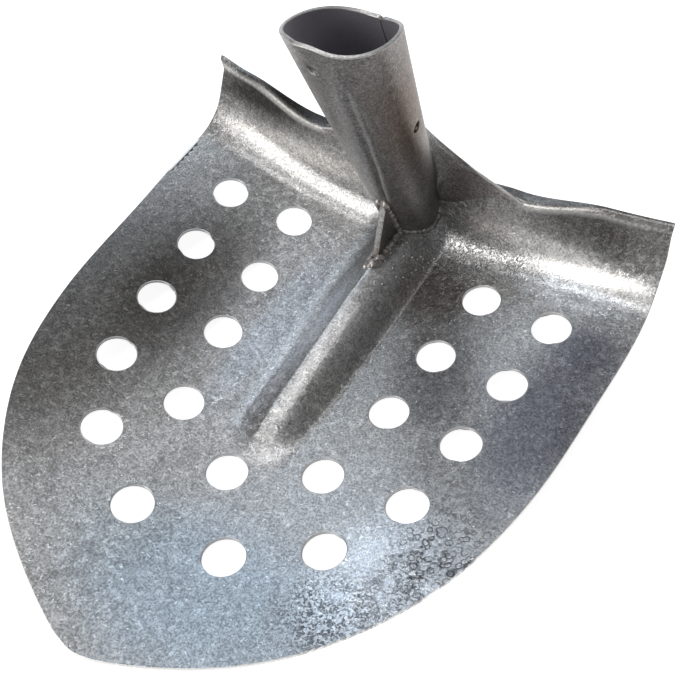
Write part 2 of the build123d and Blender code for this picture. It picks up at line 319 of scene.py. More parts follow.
def waves(x, t, depth):
    """Slow unevenness left by pressing and hammering."""
    w = np.sin(x / 11.3 + 0.9) * np.sin(t / 14.1 + 0.4) + 0.7 * np.sin(x / 7.9 - t / 9.7 + 2.1)
    w = w + 0.5 * np.sin(x / 4.7 + t / 6.1) * np.sin(t / 23.0)
    return depth * WAVE_SHARE * w


def sheet_middle(x, t, inset=0.0, depth=0.0):
    """Middle of the blade sheet at x across and t along its laid-out length."""
    x = np.asarray(x, float)
    t = np.asarray(t, float)
    out = np.minimum(1.0, np.abs(x) / HALF_W)**3
    foot = floor_z(x, BEND_Y)
    start = np.arctan(foot - floor_z(x, BEND_Y - 1.0))
    wall = np.radians(between(WALL_ANGLE, out))
    bend_r = between(BEND_R, out)
    u = t - BEND_Y
    # bend
    a = start + (wall - start) * np.clip(u / FLAT_BEND, 0.0, 1.0)
    y = BEND_Y + bend_r * (np.sin(a) - np.sin(start))
    z = foot + bend_r * (np.cos(start) - np.cos(a))
    # wall, up to the tread's top line
    off = np.abs(x + TREAD_OFF)
    dip = 1.0 - smooth((off - DIP_OUT[0]) / DIP_OUT[1])
    crest = CREST_Z - TREAD_DIP * dip + HUMP[0] * (1.0 - smooth(np.abs(x) / HUMP[1]))
    top_of_bend = foot + bend_r * (np.cos(start) - np.cos(wall))
    rise = (crest - top_of_bend) * np.clip((u - FLAT_BEND) / FLAT_WALL, 0.0, 1.0)
    y = y + rise / np.tan(wall)
    z = z + rise
    # crease and lip
    lean = math.radians(LIP_ANGLE)
    b = wall + (lean - wall) * np.clip((u - FLAT_BEND - FLAT_WALL) / FLAT_CREASE, 0.0, 1.0)
    y = y + CREASE_R * (np.sin(wall) - np.sin(b))
    z = z + CREASE_R * (np.cos(b) - np.cos(wall))
    lip = LIP_MIN - inset + (LIP_L - LIP_MIN) * dip * smooth((off - LIP_IN[0]) / LIP_IN[1])
    last = lip * np.clip((u - FLAT_BEND - FLAT_WALL - FLAT_CREASE) / FLAT_LIP, 0.0, 1.0)
    y = y + math.cos(lean) * last
    z = z + math.sin(lean) * last
    # curled corner, tucked end and slow waves
    curl = smooth((-x - CURL_X[0]) / CURL_X[1]) * smooth((t - FLAT_REAR + CURL_BACK[0]) / CURL_BACK[1])
    z = z + CURL_UP * curl
    tuck = TUCK_IN * smooth((x - TUCK_X[0]) / TUCK_X[1]) * smooth((u - FLAT_BEND) / FLAT_WALL)
    flat = t < BEND_Y
    calm = smooth((FLAT_REAR - t) / CALM_REAR) * smooth((HALF_W - np.abs(x)) / CALM_SIDE)
    wave = waves(x, t, depth) * calm
    y = np.where(flat, t, y) - wave * np.sin(np.where(flat, 0.0, a))
    z = np.where(flat, floor_z(x, t), z) + wave * np.cos(np.where(flat, 0.0, a))
    x = np.broadcast_to(np.maximum(x - CURL_IN * curl - tuck, -SIDE_LIMIT), y.shape)
    return np.stack([x, y, z], -1)


def normal_of(rule, u, v, step=0.05):
    """Unit normal of a surface rule at u, v."""
    n = np.cross(rule(u + step, v) - rule(u - step, v), rule(u, v + step) - rule(u, v - step))
    return n / np.linalg.norm(n, axis=-1, keepdims=True)


def outer_r(depth):
    """Outer radius of the tapered socket."""
    return MOUTH_R - TAPER * depth


def inner_r(depth):
    """Inner radius of the socket: one wall in, and straight where the handle seats."""
    free = outer_r(depth) - WALL
    near = smooth((depth - SEAT[0] + SEAT_EASE) / SEAT_EASE)
    near = near * smooth((SEAT[1] + SEAT_EASE - depth) / SEAT_EASE)
    return free + (SEAT_R - free) * near


def mouth_edge(angle):
    """Depth of the cut rim of the mouth round the socket."""
    a = np.radians(angle)
    edge = MOUTH_DEPTH
    for k, (c, s) in enumerate(MOUTH_WAVES, 1):
        edge = edge + c * np.cos(k * a) + s * np.sin(k * a)
    deep, wide = SEAM_NOTCH
    notch = deep * (bell(angle, SEAM_AT, wide) + bell(angle, SEAM_AT - 360.0, wide))
    return np.maximum(edge, MOUTH_TOP) + notch


def off_axis(radius, depth, angle):
    """Point beside the socket axis; the angle runs round it in degrees."""
    a = np.radians(angle)[..., None]
    r = np.asarray(radius)[..., None]
    d = np.asarray(depth)[..., None]
    return MOUTH + r * (np.cos(a) * AXIS_X + np.sin(a) * AXIS_Y) - d * AXIS_Z


def socket_middle(w, depth, dent=0.0):
    """Middle of the socket sheet; w is the arc length round it from the front line."""
    angle = -90.0 + np.degrees(np.asarray(w, float) / MOUTH_R)
    depth = np.asarray(depth, float)
    across = np.radians(angle - np.interp(depth, FOLD_DEPTHS, FOLD_ANGLES)) * outer_r(depth)
    groove = sum(high * bell(across, off, wide) for high, off, wide in (FOLD_GROOVE, FOLD_BULGE))
    groove = groove * smooth((depth - FOLD_IN[0]) / FOLD_IN[1]) * smooth((FOLD_OUT[0] - depth) / FOLD_OUT[1])
    knock = sum(high * bell(angle, at, wide) * bell(depth, down, deep)
                for high, at, wide, down, deep in KNOCKS)
    turn = np.radians(2 * angle)
    oval = MOUTH_OVAL[0] * np.cos(turn) + MOUTH_OVAL[1] * np.sin(turn) + MOUTH_OVAL[2]
    oval = oval * np.exp(-np.maximum(depth - OVAL_FADE[0], 0.0) / OVAL_FADE[1])
    r = 0.5 * (outer_r(depth) + inner_r(depth)) + oval + dent * (groove + knock)
    return off_axis(r, depth, angle)


def above_blade(p):
    """True where a point is in front of or over the middle of the blade."""
    x, y, z = p
    if y <= BEND_Y:
        return z > floor_z(x, y)
    t = np.linspace(BEND_Y, FLAT_REAR - FLAT_LIP - FLAT_CREASE, 60)
    wall = sheet_middle(np.full_like(t, x), t)
    if z > wall[-1, 2]:
        return y < wall[-1, 1] + FOOT_BEHIND
    return y < np.interp(z, wall[:, 2], wall[:, 1])


def socket_foot(angle):
    """Depth at which a line down the socket runs into the blade."""
    depth = FOOT_FROM
    while depth < FOOT_TO and above_blade(off_axis(outer_r(depth) - WALL / 2, depth, np.float64(angle))):
        depth += FOOT_STEP
    return depth


def tilted(points):
    """Points or directions of the blade turned as it lies on the ground, in millimetres."""
    tilt = -math.atan(REST_Y / LONG_R)
    c, s = math.cos(tilt), math.sin(tilt)
    p = np.asarray(points, float)
    return np.stack([p[..., 0], c * p[..., 1] - s * p[..., 2], s * p[..., 1] + c * p[..., 2]], -1)


def find_place():
    """Shift in metres that sets the rule's blade where the CAD blade stands."""
    x, t = np.meshgrid(np.linspace(-60, 60, 81), np.linspace(20, 140, 241))
    under = tilted(sheet_middle(x, t) - normal_of(sheet_middle, x, t) * SHEET / 2)
    tip = tilted([0.0, OUTLINE[0][1], floor_z(0.0, OUTLINE[0][1]) - SHEET / 2])
    low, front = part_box("blade")[0].z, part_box("blade")[0].y
    return np.array([0.0, front - tip[1] * MM, low - under[..., 2].min() * MM])


PLACE = find_place()


def settle(points):
    """From the blade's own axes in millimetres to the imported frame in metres."""
    return tilted(points) * MM + PLACE


# --- mesh helpers -------------------------------------------------------------

def spline(points, start, end, step):
    """Points along a smooth curve with given end directions."""
    p = np.array(points, float)
    k = np.r_[0.0, np.cumsum(np.linalg.norm(np.diff(p, axis=0), axis=1))]
    h = np.diff(k)
    n = len(p)
    m = np.zeros((n, n))
    rhs = np.zeros((n, p.shape[1]))
    m[0, 0] = m[-1, -1] = 1.0
    rhs[0] = np.array(start) / np.linalg.norm(start)
    rhs[-1] = np.array(end) / np.linalg.norm(end)
    for i in range(1, n - 1):
        m[i, i - 1], m[i, i], m[i, i + 1] = h[i], 2 * (h[i] + h[i - 1]), h[i - 1]
        rhs[i] = 3 * (h[i] * (p[i] - p[i - 1]) / h[i - 1] + h[i - 1] * (p[i + 1] - p[i]) / h[i])
    d = np.linalg.solve(m, rhs)
    out = []
    for i in range(n - 1):
        s = np.arange(0.0, 1.0, 1.0 / max(1, round(h[i] / step)))[:, None]
        a, b = p[i], p[i + 1]
        out.append((2 * s**3 - 3 * s**2 + 1) * a + (s**3 - 2 * s**2 + s) * h[i] * d[i]
                   + (3 * s**2 - 2 * s**3) * b + (s**3 - s**2) * h[i] * d[i + 1])
    return np.vstack(out + [p[-1:]])


def ring(radius, count):
    """Points round a circle."""
    a = np.linspace(0.0, 2 * math.pi, count, endpoint=False)
    return radius * np.stack([np.cos(a), np.sin(a)], -1)


def triangulate(outer, inner, filling):
    """Triangles between an outer loop, inner loops and filling points of the laid-out sheet."""
    points = np.vstack([outer] + inner + [filling])
    edges, loops, at = [], [], 0
    for loop in [outer] + inner:
        ids = list(range(at, at + len(loop)))
        edges += list(zip(ids, ids[1:] + ids[:1]))
        loops.append(ids)
        at += len(loop)
    made = geometry.delaunay_2d_cdt([Vector(p) for p in points], edges, [], 1, 1e-5)
    flat = np.array([list(v) for v in made[0]])
    new = {old: k for k, olds in enumerate(made[3]) for old in olds}
    faces = np.array([f for f in made[2] if len(f) == 3])
    middle = flat[faces].mean(1)
    keep = np.ones(len(faces), bool)
    for loop in inner:
        c = loop.mean(0)
        keep &= np.linalg.norm(middle - c, axis=1) > 0.96 * np.linalg.norm(loop[0] - c)
    faces = faces[keep]
    a, b, c = flat[faces[:, 0]], flat[faces[:, 1]], flat[faces[:, 2]]
    turned = (b - a)[:, 0] * (c - a)[:, 1] - (b - a)[:, 1] * (c - a)[:, 0]
    faces = faces[np.abs(turned) > 1e-7]
    turned = turned[np.abs(turned) > 1e-7]
    faces[turned < 0] = faces[turned < 0][:, ::-1]
    return flat, faces, [[new[i] for i in ids] for ids in loops]


def thick_sheet(flat, faces, loops, rule, half, edge, worn=None, rim=None):
    """Closed shell of sheet metal over a laid-out triangulation, with rounded cut edges."""
    u, v = flat[:, 0], flat[:, 1]
    mid = rule(u, v)
    n = normal_of(rule, u, v)
    half = np.broadcast_to(half, len(flat))
    top, low = mid + n * half[:, None], mid - n * half[:, None]
    verts, normals = [top, low], [n, -n]
    # Lighter-steel mask: painted highlight on the top face where it is asked for; wear on the rounded cut
    # edges, painted highlight on the ears' top edges.
    wear_and_highlight_rows = [worn(u, v) if worn else np.zeros(len(flat)), np.zeros(len(flat))]
    under = [np.zeros(len(flat)), np.ones(len(flat))]
    polys = [tuple(f) for f in faces] + [tuple(f[::-1] + len(flat)) for f in faces]
    count = 2 * len(flat)
    for number, loop in enumerate(loops):
        loop = np.array(loop)
        area = 0.5 * np.sum(u[loop] * np.roll(v[loop], -1) - np.roll(u[loop], -1) * v[loop])
        if (area < 0) != (number > 0):
            loop = loop[::-1]
        p, pn = mid[loop], n[loop]
        way = np.roll(p, -1, 0) - np.roll(p, 1, 0)
        out = np.cross(way, pn)
        out /= np.linalg.norm(out, axis=1, keepdims=True)
        h = half[loop][:, None]
        rows = [loop]
        for side, turn in ((1, 30), (1, 60), (1, 90), (-1, 90), (-1, 60), (-1, 30)):
            a = math.radians(turn)
            verts.append(p + out * edge * math.sin(a) + side * pn * (h - edge + edge * math.cos(a)))
            normals.append(out * math.sin(a) + side * pn * math.cos(a))
            rubbed = np.full(len(loop), 1.0 if number == 0 else HOLE_WEAR)
            wear_and_highlight_rows.append(rim(u[loop], v[loop]) if rim else rubbed)
            under.append(np.zeros(len(loop)))
            rows.append(np.arange(count, count + len(loop)))
            count += len(loop)
        rows.append(loop + len(flat))
        for row, following in zip(rows, rows[1:]):
            a, b = row, np.roll(row, -1)
            c, d = np.roll(following, -1), following
            polys += [tuple(q) for q in np.stack([a, d, c, b], -1)]
    return np.vstack(verts), np.vstack(normals), np.concatenate(wear_and_highlight_rows), np.concatenate(under), polys


def sheet_object(name, *shells):
    """Object made of one or more closed shells, with masks for edges lightened by wear and by painted
    highlight, and for the inside.
    """
    verts, polys, at = [], [], 0
    for shell in shells:
        polys += [tuple(int(i) + at for i in p) for p in shell[4]]
        at += len(shell[0])
    verts, normals = (np.vstack([shell[k] for shell in shells]) for k in (0, 1))
    obj = plain_mesh(name, settle(verts), polys, tilted(normals))
    for k, key in ((2, "worn"), (3, "inside")):
        mask = obj.data.attributes.new(key, "FLOAT", "POINT")
        mask.data.foreach_set("value", np.concatenate([shell[k] for shell in shells]).astype(np.float32))
    return obj


def plain_mesh(name, verts, polys, normals=None):
    """Smooth-shaded mesh object, with its own normals where they are given."""
    mesh = bpy.data.meshes.new(name)
    mesh.from_pydata(np.asarray(verts, float).tolist(), [], [tuple(int(i) for i in p) for p in polys])
    mesh.polygons.foreach_set("use_smooth", [True] * len(mesh.polygons))
    if normals is not None:
        n = np.asarray(normals, float)
        n = n / np.linalg.norm(n, axis=1, keepdims=True)
        mesh.normals_split_custom_set_from_vertices(n.tolist())
    mesh.update()
    obj = bpy.data.objects.new(name, mesh)
    bpy.context.scene.collection.objects.link(obj)
    return obj


def finished(obj, slot, material, *nodes):
    """Gives a piece its material, puts it on the body it rides on, and hides the CAD nodes it stands for."""
    obj.data.materials.clear()
    obj.data.materials.append(material)
    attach(obj, "root")
    if nodes:
        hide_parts(*nodes)
    return obj


def baked(obj, name):
    """Plain mesh of an object's evaluated geometry; the working object is removed."""
    graph = bpy.context.evaluated_depsgraph_get()
    mesh = bpy.data.meshes.new_from_object(obj.evaluated_get(graph))
    bpy.data.objects.remove(obj)
    mesh.name = name
    result = bpy.data.objects.new(name, mesh)
    bpy.context.scene.collection.objects.link(result)
    return result


# --- node helpers -------------------------------------------------------------

def node(tree, kind, values=None, **settings):
    """New node with its settings and with its inputs set or linked."""
    made = tree.nodes.new(kind)
    for key, value in settings.items():
        setattr(made, key, value)
    for key, value in (values or {}).items():
        if isinstance(value, bpy.types.NodeSocket):
            tree.links.new(value, made.inputs[key])
        else:
            made.inputs[key].default_value = value
    return made


def calc(tree, operation, a, b=0.0, clamp=False):
    """Sum, product or other reckoning of one or two values."""
    return node(tree, "ShaderNodeMath", {0: a, 1: b}, operation=operation, use_clamp=clamp).outputs[0]


def span(tree, value, low, high, to_low=0.0, to_high=1.0):
    """Value carried from one range to another, eased and clamped."""
    made = node(tree, "ShaderNodeMapRange", {0: value, 1: low, 2: high, 3: to_low, 4: to_high},
                interpolation_type="SMOOTHSTEP", clamp=True)
    return made.outputs[0]


def blend(tree, amount, a, b, mode="MIX"):
    """Colour a carried towards colour b."""
    values = {0: amount, 6: a, 7: b}
    return node(tree, "ShaderNodeMix", values, data_type="RGBA", blend_type=mode).outputs[2]


def grain(tree, place, scale, detail=2.0, rough=0.5, twist=0.0):
    """Soft noise; its scale is a count per metre."""
    values = {"Vector": place, "Scale": scale, "Detail": detail, "Roughness": rough, "Distortion": twist}
    return node(tree, "ShaderNodeTexNoise", values).outputs[0]


def vector(tree, operation, a, b=None):
    """Reckoning with one or two vectors; its outputs are a vector and a value."""
    values = {0: a} if b is None else {0: a, 1: b}
    return node(tree, "ShaderNodeVectorMath", values, operation=operation).outputs


def spot(tree, place, centre, size):
    """Soft ellipsoid mask round a point of the blade, both in millimetres."""
    moved = vector(tree, "SUBTRACT", place, tuple(settle(centre)))[0]
    scaled = vector(tree, "MULTIPLY", moved, [1.0 / (s * MM) for s in size])[0]
    return span(tree, vector(tree, "LENGTH", scaled)[1], 1.0, 0.25)


def isolines(tree, place, scale, twist, width, level=0.5):
    """Thin wandering lines where a noise crosses a level."""
    value = grain(tree, place, scale, detail=1.5, twist=twist)
    return span(tree, calc(tree, "ABSOLUTE", calc(tree, "SUBTRACT", value, level)), width, width * 0.25)


def mill_steel(name, light, dark, fleck, rough, painted_light_and_shade, flecks):
    """Bare mill steel: soft blotches, hair-like bright flecks, fine grain, painted light and shade, worn
    edges and painted edge highlights.
    """
    made = bpy.data.materials.new(name)
    made.use_nodes = True
    tree = made.node_tree
    shader = tree.nodes["Principled BSDF"]
    place = node(tree, "ShaderNodeTexCoord").outputs["Object"]
    blotch = grain(tree, place, 16.0, detail=3.0, twist=0.2)
    cloud = grain(tree, place, 190.0, detail=3.0, rough=0.6)
    speck = grain(tree, place, 1050.0, rough=0.65)
    base = blend(tree, span(tree, blotch, 0.3, 0.7), dark, light)
    tone = span(tree, speck, 0.34, 0.66, 0.66, 1.34)
    tone = calc(tree, "ADD", tone, span(tree, cloud, 0.3, 0.7, -0.1, 0.1))
    mottle = node(tree, "ShaderNodeCombineXYZ", {"X": tone, "Y": tone, "Z": tone}).outputs[0]
    base = blend(tree, 1.0, base, mottle, "MULTIPLY")
    hairs = calc(tree, "MULTIPLY", isolines(tree, place, 300.0, twist=2.6, width=0.06),
                 span(tree, grain(tree, place, 420.0), 0.5, 0.62))
    worms = calc(tree, "MULTIPLY", isolines(tree, place, 520.0, twist=1.6, width=0.085, level=0.47),
                 span(tree, grain(tree, place, 330.0), 0.5, 0.66))
    marks = calc(tree, "MAXIMUM", hairs, calc(tree, "MULTIPLY", worms, 0.75))
    base = blend(tree, calc(tree, "MULTIPLY", marks, flecks), base, fleck)
    # Painted light and shade: lighter and darker fields multiplied into the colour.
    for centre, size, color, amount in painted_light_and_shade:
        mask = calc(tree, "MULTIPLY", spot(tree, place, centre, size), amount)
        base = blend(tree, mask, base, color, "MULTIPLY")
    height = calc(tree, "ADD", calc(tree, "MULTIPLY", marks, 0.5), speck)
    # Lighter edges: wear on the cut edges, painted highlight on the tread's crease and the ears' top edges.
    worn = node(tree, "ShaderNodeAttribute", attribute_name="worn").outputs["Fac"]
    base = blend(tree, calc(tree, "MULTIPLY", worn, 0.7), base, WEAR_AND_HIGHLIGHT_TONE)
    polish = calc(tree, "ADD", rough, calc(tree, "MULTIPLY", calc(tree, "SUBTRACT", cloud, 0.5), 0.22))
    polish = calc(tree, "SUBTRACT", polish, calc(tree, "MULTIPLY", marks, 0.06), clamp=True)
    tree.links.new(base, shader.inputs["Base Color"])
    tree.links.new(polish, shader.inputs["Roughness"])
    shader.inputs["Metallic"].default_value = 1.0
    bump = node(tree, "ShaderNodeBump", {"Strength": 1.0, "Distance": 0.00009, "Height": height})
    tree.links.new(bump.outputs[0], shader.inputs["Normal"])
    return made, base, height, place, bump


def etch(steel, kind, centre, size, scale, amount):
    """Etched patch on a steel: round cells, fine pits or leathery lines, inside a soft ellipsoid."""
    made, base, height, place, bump = steel
    tree = made.node_tree
    shader = tree.nodes["Principled BSDF"]
    broken = span(tree, grain(tree, place, 110.0, detail=3.0, rough=0.6), 0.3, 0.5)
    mask = calc(tree, "MULTIPLY", spot(tree, place, centre, size), broken)
    if kind == "cells":
        push = node(tree, "ShaderNodeTexNoise", {"Vector": place, "Scale": scale * 1.6}).outputs[1]
        push = node(tree, "ShaderNodeVectorMath", {0: push, 3: 0.45 / scale}, operation="SCALE").outputs[0]
        bent = vector(tree, "ADD", place, push)[0]
        cell = node(tree, "ShaderNodeTexVoronoi", {"Vector": bent, "Scale": scale}).outputs[0]
        line = span(tree, calc(tree, "ABSOLUTE", calc(tree, "SUBTRACT", cell, 0.44)), 0.14, 0.03)
    elif kind == "pits":
        line = span(tree, grain(tree, place, scale, detail=1.5, twist=0.8), 0.53, 0.42)
    else:
        line = isolines(tree, place, scale, twist=2.4, width=0.075, level=0.46)
    line = calc(tree, "MULTIPLY", line, mask)
    base = blend(tree, calc(tree, "MULTIPLY", line, amount), base, ETCHED_LINE, "MULTIPLY")
    lift = calc(tree, "MULTIPLY", calc(tree, "SUBTRACT", mask, line), 0.22 * amount)
    base = blend(tree, lift, base, ETCHED_FACE)
    height = calc(tree, "SUBTRACT", height, calc(tree, "MULTIPLY", line, 1.4 * amount))
    tree.links.new(base, shader.inputs["Base Color"])
    tree.links.new(height, bump.inputs["Height"])
    return made, base, height, place, bump


def darken_inside(steel, color):
    """Dull inner side of a rolled sheet, in a less metallic colour of its own."""
    made, base = steel[:2]
    tree = made.node_tree
    shader = tree.nodes["Principled BSDF"]
    inside = node(tree, "ShaderNodeAttribute", attribute_name="inside").outputs["Fac"]
    tree.links.new(blend(tree, inside, base, color), shader.inputs["Base Color"])
    metal = calc(tree, "SUBTRACT", 1.0, calc(tree, "MULTIPLY", inside, 0.85))
    tree.links.new(metal, shader.inputs["Metallic"])


def open_tree(name, numbers, whole=()):
    """Geometry tree with named inputs: the geometry, numbers, whole numbers and the material."""
    tree = bpy.data.node_groups.new(name, "GeometryNodeTree")
    face = tree.interface
    face.new_socket("Geometry", in_out="INPUT", socket_type="NodeSocketGeometry")
    for key in numbers:
        face.new_socket(key, in_out="INPUT", socket_type="NodeSocketFloat")
    for key in whole:
        face.new_socket(key, in_out="INPUT", socket_type="NodeSocketInt")
    face.new_socket("Material", in_out="INPUT", socket_type="NodeSocketMaterial")
    face.new_socket("Geometry", in_out="OUTPUT", socket_type="NodeSocketGeometry")
    return tree, node(tree, "NodeGroupInput").outputs


def close_tree(tree, instances, material):
    """Ends a geometry tree: real, smooth-shaded geometry with its material."""
    real = node(tree, "GeometryNodeRealizeInstances", {0: instances})
    shade = node(tree, "GeometryNodeSetShadeSmooth", {0: real.outputs[0]})
    paint = node(tree, "GeometryNodeSetMaterial", {0: shade.outputs[0], "Material": material})
    node(tree, "NodeGroupOutput", {0: paint.outputs[0]})
    return tree


def use_tree(obj, tree, values):
    """Puts a geometry tree on an object and sets its inputs by their identifiers."""
    modifier = obj.modifiers.new(tree.name, "NODES")
    modifier.node_group = tree
    for item in tree.interface.items_tree:
        if item.in_out == "INPUT" and item.name in values:
            modifier[item.identifier] = values[item.name]


# --- settings -----------------------------------------------------------------

def length(name, default, description):
    """Setting in metres."""
    return FloatProperty(name=name, description=description, default=default, unit="LENGTH")


def power(name, default, description):
    """Setting in watts."""
    return FloatProperty(name=name, description=description, default=default, unit="POWER")


def tint(name, default, description):
    """Opaque colour setting."""
    return FloatVectorProperty(name=name, description=description, default=default + (1.0,), size=4,
                               subtype="COLOR")


class BladeSettings(bpy.types.PropertyGroup):
    hole_d: length("Hole diameter", 0.018, "Diameter of the sieve holes")
    edge: length("Edge rounding", 0.0003, "Radius worn on the cut edges")
    waves: length("Unevenness", 0.00012, "Depth of the slow waves in the sheet")
    grid: length("Grid", 0.003, "Spacing of the mesh on the plain dish")
    rim: length("Hole rim", 0.00034, "Radius of the rolled rim round a sieve hole")


class SocketSettings(bpy.types.PropertyGroup):
    edge: length("Rim rounding", 0.0004, "Radius worn on the socket's cut edges")
    dents: FloatProperty(name="Dents", description="Strength of the fold line and knocks",
                         default=1.0, min=0.0, max=3.0)
    round_gusset: length("Gusset rounding", 0.0005, "Bevel on the gusset")


class WeldSettings(bpy.types.PropertyGroup):
    radius: length("Bead radius", 0.0026, "Radius of the weld beads")
    pitch: length("Ripple pitch", 0.0007, "Distance between weld ripples")
    spatter: IntProperty(name="Spatter", description="Number of weld spatter beads", default=42,
                         min=0, max=400)
    seed: IntProperty(name="Seed", description="Seed of the random sizes", default=7)


class FinishSettings(bpy.types.PropertyGroup):
    light: tint("Light steel", (0.37, 0.37, 0.375), "Bright tone of the sheet")
    dark: tint("Dark steel", (0.30, 0.295, 0.29), "Dull tone of the sheet")
    fleck: tint("Flecks", (0.85, 0.85, 0.85), "Short bright marks in the scale")
    tube: tint("Socket steel", (0.325, 0.315, 0.31), "Bright tone of the socket")
    tube_dark: tint("Dull socket steel", (0.24, 0.232, 0.228), "Dull tone of the socket")
    inner_tone: tint("Inside", (0.31, 0.295, 0.325), "Dull inner side of the socket")
    bead: tint("Weld metal", (0.36, 0.34, 0.32), "Tone of the weld beads")


class StageSettings(bpy.types.PropertyGroup):
    floor: tint("Floor", (0.6, 0.6, 0.6), "Colour of the floor")
    key: power("Key lamp", 10.5, "Power of the large lamp")
    top: power("Top lamp", 3.4, "Power of the lamp overhead")
    rear: power("Rear lamp", 3.4, "Power of the cool rear lamp")
    sky: FloatProperty(name="Sky", description="Strength of the even light", default=0.30,
                       min=0.0, max=2.0)


# --- stage --------------------------------------------------------------------

class SIEVE_OT_stage(bpy.types.Operator):
    """Camera, pale floor and soft lamps"""
    bl_idname = "sieve.stage"
    bl_label = "Stage"

    def execute(self, context):
        scene = context.scene
        stage = scene.sieve_stage
        camera = bpy.data.cameras.new("camera")
        camera.lens = LENS
        camera.sensor_width = SENSOR
        eye = bpy.data.objects.new("camera", camera)
        eye.location = CAMERA_AT
        eye.rotation_euler = [math.radians(a) for a in CAMERA_TURN]
        scene.collection.objects.link(eye)
        scene.camera = eye
        self.floor(stage)
        for key, settings in LAMPS.items():
            self.lamp(scene, key + "_lamp", getattr(stage, key), *settings)
        world = bpy.data.worlds.new("even_light")
        world.use_nodes = True
        tree = world.node_tree
        back = tree.nodes["Background"]
        back.inputs["Color"].default_value = WHITE
        path = node(tree, "ShaderNodeLightPath")
        seen = span(tree, path.outputs["Is Camera Ray"], 0.0, 1.0, stage.sky, 1.0)
        tree.links.new(seen, back.inputs["Strength"])
        scene.world = world
        scene.view_settings.view_transform = "Standard"
        return {"FINISHED"}

    def floor(self, stage):
        """Pale floor that shows white to the camera and in the metal, and keeps the shadow."""
        square = ((-1, -1), (1, -1), (1, 1), (-1, 1))
        corners = [(FLOOR_SIDE * x, FLOOR_SIDE * y, FLOOR_Z) for x, y in square]
        floor = plain_mesh("floor", corners, [(0, 1, 2, 3)])
        made = bpy.data.materials.new("pale_floor")
        made.use_nodes = True
        tree = made.node_tree
        shader = tree.nodes["Principled BSDF"]
        shader.inputs["Base Color"].default_value = stage.floor
        shader.inputs["Roughness"].default_value = 0.9
        shader.inputs["Specular IOR Level"].default_value = 0.1
        path = node(tree, "ShaderNodeLightPath")
        seen = calc(tree, "MAXIMUM", path.outputs["Is Camera Ray"], path.outputs["Is Glossy Ray"])
        seen = calc(tree, "MAXIMUM", seen, path.outputs["Is Transmission Ray"])
        shader.inputs["Emission Color"].default_value = WHITE
        tree.links.new(calc(tree, "MULTIPLY", seen, FLOOR_GLOW), shader.inputs["Emission Strength"])
        floor.data.materials.append(made)

    def lamp(self, scene, name, power, place, size, color):
        """Rectangular lamp turned towards the piece."""
        data = bpy.data.lights.new(name, "AREA")
        data.shape = "RECTANGLE"
        data.size, data.size_y = size
        data.energy = power
        data.color = color
        lamp = bpy.data.objects.new(name, data)
        lamp.location = place
        lamp.rotation_euler = (Vector(LAMP_AIM) - Vector(place)).to_track_quat("-Z", "Y").to_euler()
        scene.collection.objects.link(lamp)


# --- pieces -------------------------------------------------------------------

def blade_steel(finish):
    """Sheet steel of the blade, with its etched patches."""
    steel = mill_steel("blade_steel", finish.light, finish.dark, finish.fleck,
                       rough=0.33, painted_light_and_shade=BLADE_PAINTED_LIGHT_AND_SHADE, flecks=0.6)
    for patch in BLADE_ETCHING:
        steel = etch(steel, *patch)
    return steel[0]


